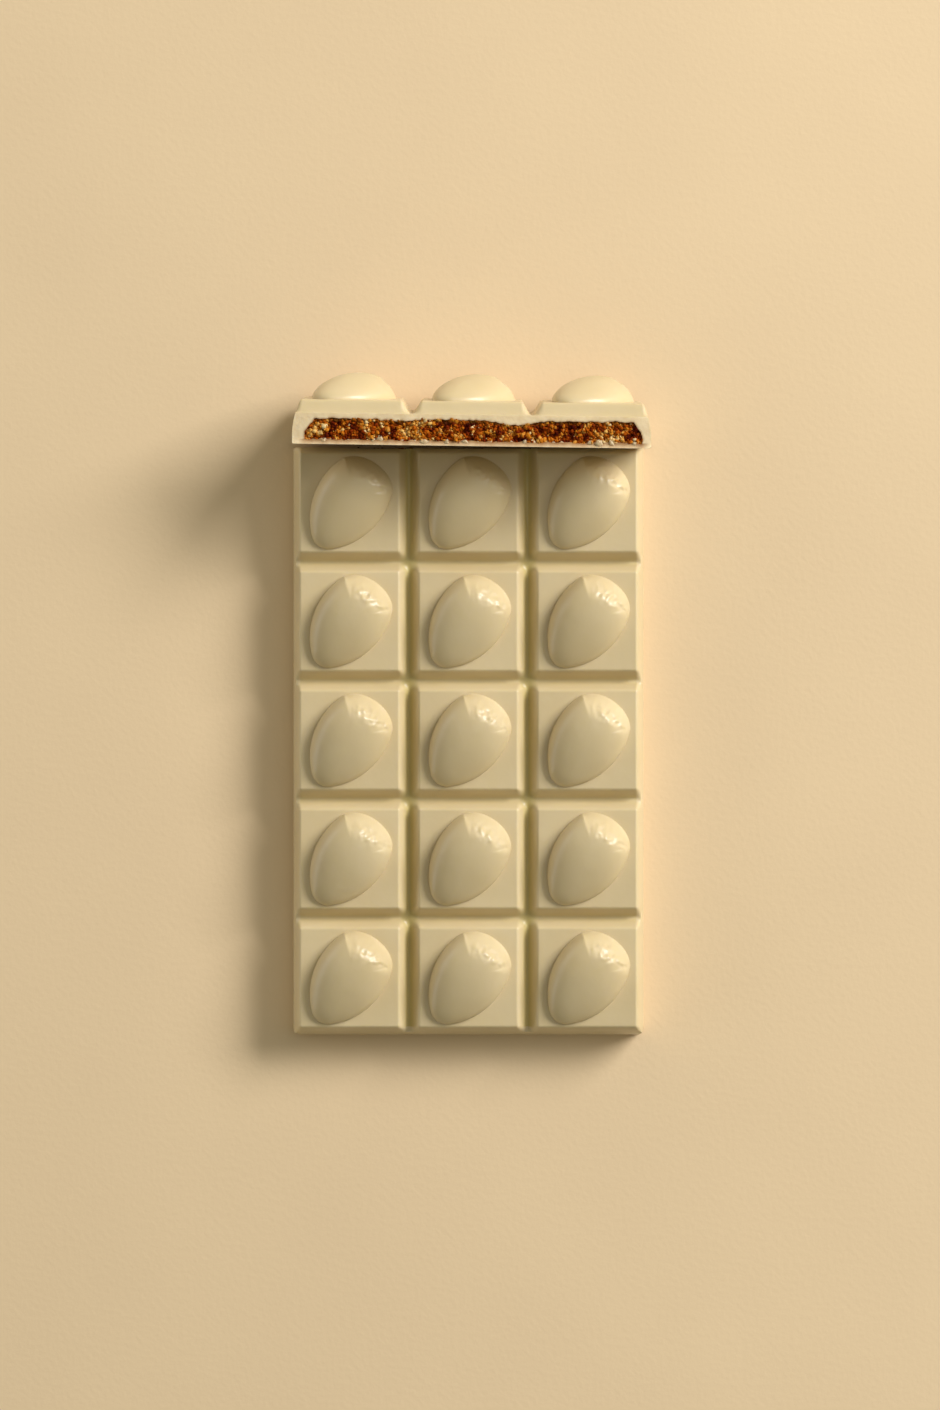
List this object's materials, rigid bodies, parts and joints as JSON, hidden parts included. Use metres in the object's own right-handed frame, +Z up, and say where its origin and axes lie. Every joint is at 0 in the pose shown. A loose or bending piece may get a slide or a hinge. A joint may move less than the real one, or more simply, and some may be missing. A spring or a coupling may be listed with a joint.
{
  "type": "filled white chocolate bar",
  "caption": "White chocolate bar with a moulded almond on each square; a snapped-off row stands at its end and shows the crumb filling.",
  "frame": {"origin": "middle of the lying piece's flat underside", "axes": "+X across the columns of squares, +Y along the rows towards the snapped end and the standing row, +Z up"},
  "size_m": [0.0764, 0.1426, 0.0263],
  "materials": {
    "white_chocolate": "satin moulded white chocolate, matte and paler where it is snapped",
    "crumb_filling": "rough pressed crumbs, orange to dark brown"
  },
  "bodies": {
    "root": {"bar_shell": "white_chocolate", "bar_filling": "crumb_filling", "strip_shell": "white_chocolate", "strip_filling": "crumb_filling"}
  },
  "joints": []
}
